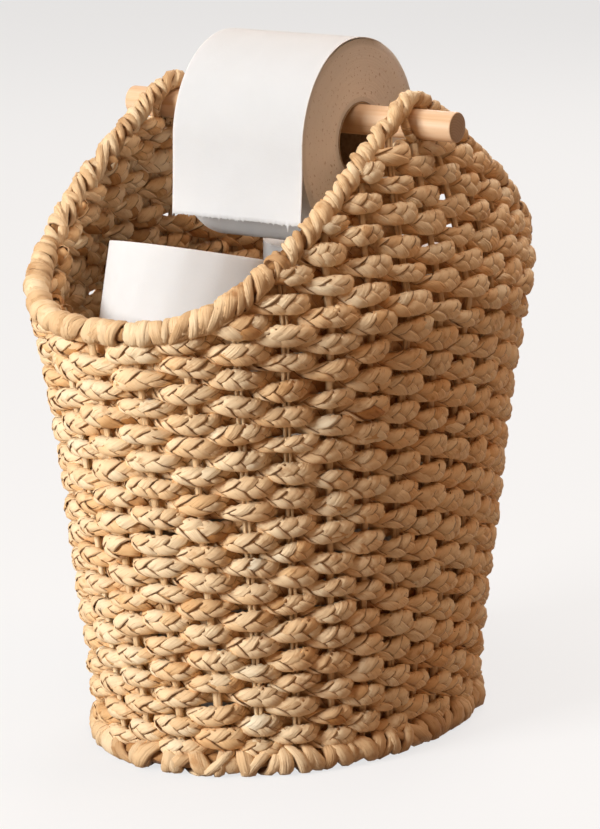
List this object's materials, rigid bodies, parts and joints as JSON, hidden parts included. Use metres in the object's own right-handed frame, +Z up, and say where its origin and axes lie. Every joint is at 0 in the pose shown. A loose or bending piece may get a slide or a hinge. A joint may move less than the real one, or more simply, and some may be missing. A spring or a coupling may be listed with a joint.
{
  "type": "toilet roll holder with magazine rack",
  "caption": "Oval woven basket with raised ears that carry a roll of toilet paper on a wooden dowel, with spare rolls standing inside and room at the sides for magazines.",
  "frame": {"origin": "on the floor, under the middle of the basket", "axes": "+X along the dowel, towards its right-hand end; -Y towards the front, where the loose sheet hangs; +Z up"},
  "size_m": [0.2725, 0.4208, 0.4469],
  "materials": {
    "braid": "matt plaited water hyacinth",
    "wrap": "matt flat strands of water hyacinth",
    "reed": "bare reed",
    "dowel_wood": "pale, sanded, unvarnished",
    "card": "bare grey card",
    "paper": "soft tissue"
  },
  "bodies": {
    "basket": {"foot_ring": "wrap", "floor_panel": "braid", "stake_01": "reed", "stake_02": "reed", "stake_03": "reed", "stake_04": "reed", "stake_05": "reed", "stake_06": "reed", "stake_07": "reed", "stake_08": "reed", "stake_09": "reed", "stake_10": "reed", "stake_11": "reed", "stake_12": "reed", "stake_13": "reed", "stake_14": "reed", "stake_15": "reed", "stake_16": "reed", "stake_17": "reed", "stake_18": "reed", "stake_19": "reed", "stake_20": "reed", "stake_21": "reed", "stake_22": "reed", "stake_23": "reed", "stake_24": "reed", "stake_25": "reed", "stake_26": "reed", "stake_27": "reed", "stake_28": "reed", "stake_29": "reed", "stake_30": "reed", "stake_31": "reed", "stake_32": "reed", "stake_33": "reed", "braid_length_1": "braid", "braid_length_2": "braid", "braid_length_3": "braid", "braid_length_4": "braid", "ear_braid_right": "braid", "ear_braid_left": "braid", "rim_wrap": "wrap", "spare_front_1_paper": "paper", "spare_front_2_paper": "paper", "spare_rear_1_paper": "paper", "spare_rear_2_paper": "paper", "spare_front_top_paper": "paper", "spare_rear_top_paper": "paper", "spare_front_1_core": "card", "spare_front_2_core": "card", "spare_rear_1_core": "card", "spare_rear_2_core": "card", "spare_front_top_core": "card", "spare_rear_top_core": "card"},
    "dowel": {"dowel": "dowel_wood"},
    "hung_roll": {"hung_roll_core": "card", "hung_roll_paper": "paper", "loose_sheet": "paper"}
  },
  "joints": [
    {"name": "dowel_slide", "type": "slide", "parent": "basket", "child": "dowel", "axis": [1, 0, 0], "range_m": [-0.215, 0.215]},
    {"name": "roll_spin", "type": "hinge", "parent": "basket", "child": "hung_roll", "pos_m": [0.0045, 0, 0.3833], "axis": [1, 0, 0], "continuous": true}
  ]
}
